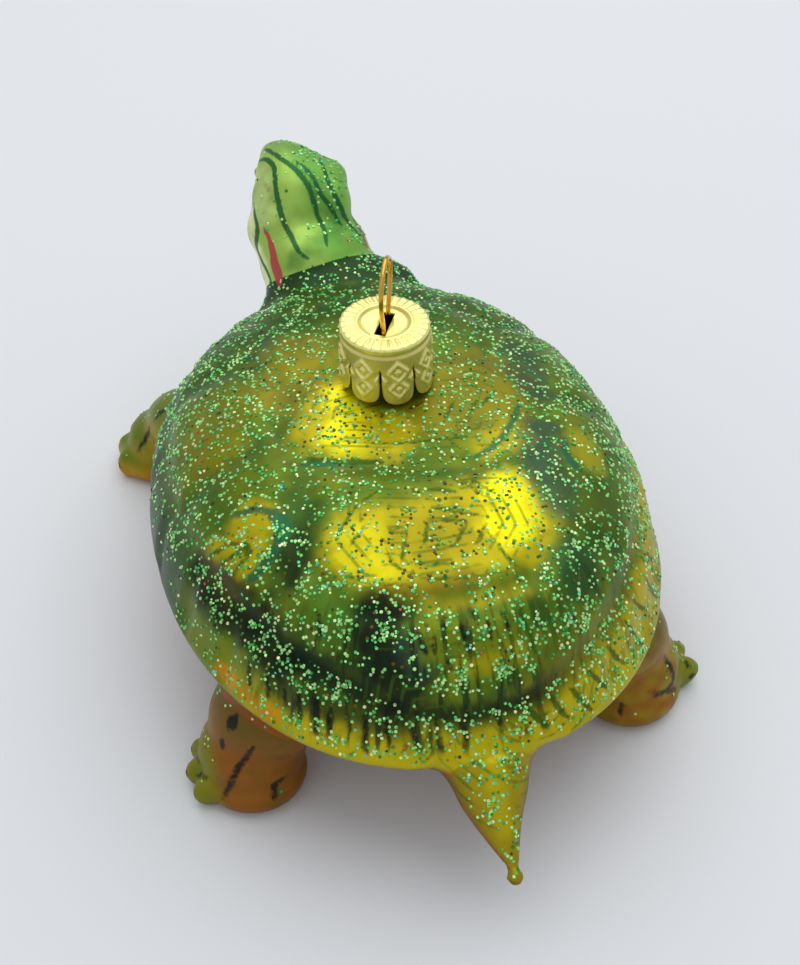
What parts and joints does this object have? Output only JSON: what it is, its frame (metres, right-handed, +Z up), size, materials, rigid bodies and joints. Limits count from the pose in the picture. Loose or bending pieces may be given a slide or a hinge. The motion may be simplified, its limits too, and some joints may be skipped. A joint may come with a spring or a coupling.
{
  "type": "blown-glass turtle hanging ornament",
  "caption": "Hand-painted blown-glass ornament shaped as a red-eared slider turtle, standing on its soles, with a stamped metal crown cap and a spring-wire hanging loop.",
  "frame": {"origin": "middle of the bounding box at the level of the soles", "axes": "+Z up; the turtle faces -Y with its tail to +Y, and its left side is +X"},
  "size_m": [0.0732, 0.113, 0.0603],
  "materials": {
    "lacquered_glass_shell": "silvered glass under yellow, green and black lacquer with glitter",
    "lacquered_glass_belly": "silvered glass under amber and yellow lacquer",
    "lacquered_glass_skin": "silvered glass under light green lacquer with painted stripes",
    "lacquered_glass_leg": "silvered glass under amber lacquer with green strokes",
    "eye_enamel": "glossy painted enamel on glass",
    "bare_glass_stem": "silvered glass, unpainted under the cap",
    "stamped_brass_cap": "bright stamped sheet, pale gold",
    "spring_wire": "drawn wire, polished"
  },
  "bodies": {
    "root": {"carapace": "lacquered_glass_shell", "plastron": "lacquered_glass_belly", "neck": "lacquered_glass_skin", "head": "lacquered_glass_skin", "eye_left": "eye_enamel", "eye_right": "eye_enamel", "leg_front_left": "lacquered_glass_leg", "leg_front_right": "lacquered_glass_leg", "leg_rear_left": "lacquered_glass_leg", "leg_rear_right": "lacquered_glass_leg", "tail": "lacquered_glass_leg", "glass_stem": "bare_glass_stem", "cap": "stamped_brass_cap", "hanger_wire": "spring_wire"}
  },
  "joints": []
}
